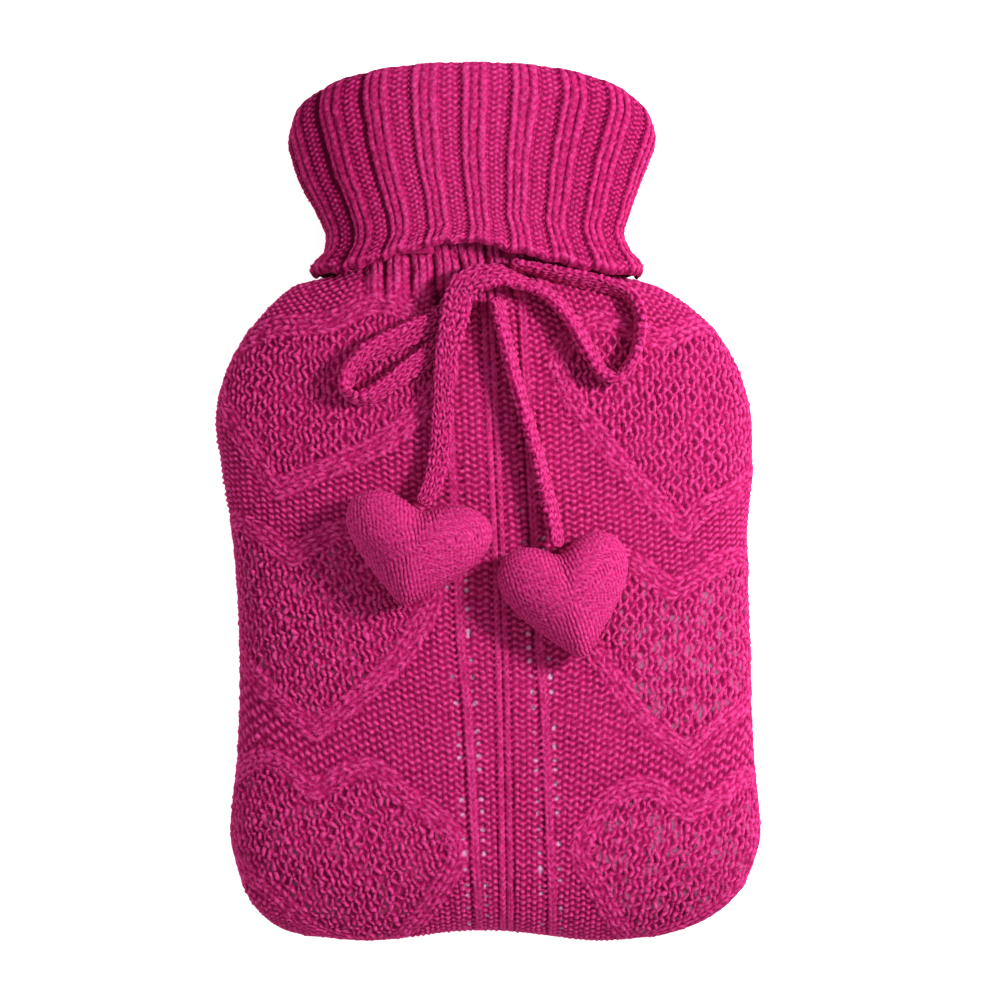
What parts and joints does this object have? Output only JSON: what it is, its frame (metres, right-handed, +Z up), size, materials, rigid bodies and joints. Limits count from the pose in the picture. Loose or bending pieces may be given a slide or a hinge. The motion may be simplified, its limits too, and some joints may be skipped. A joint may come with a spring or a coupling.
{
  "type": "hot water bottle cover",
  "caption": "Knitted hot water bottle cover with a turned-down ribbed collar, a tied bow and stuffed hearts, lying face up.",
  "frame": {"origin": "on the surface it lies on, under the middle of the cover's length and width", "axes": "+Z up through the front of the cover, +Y towards the collar, +X to the right of the front"},
  "size_m": [0.2104, 0.3396, 0.0687],
  "materials": {
    "patterned_knit": "matt knitted wool mix, reverse stockinette with raised cables",
    "plain_knit": "matt knitted wool mix",
    "rib_knit": "matt ribbed knit",
    "cord_knit": "matt flat knitted cord",
    "heart_knit": "matt fine stockinette over stuffing"
  },
  "bodies": {
    "root": {"front_panel": "patterned_knit", "back_panel": "plain_knit", "collar": "rib_knit", "tie_band": "cord_knit", "tie_knot": "cord_knit", "tie_loop_left": "cord_knit", "tie_loop_right": "cord_knit", "tie_tail_left": "cord_knit", "tie_tail_right": "cord_knit", "heart_left": "heart_knit", "heart_right": "heart_knit"}
  },
  "joints": []
}
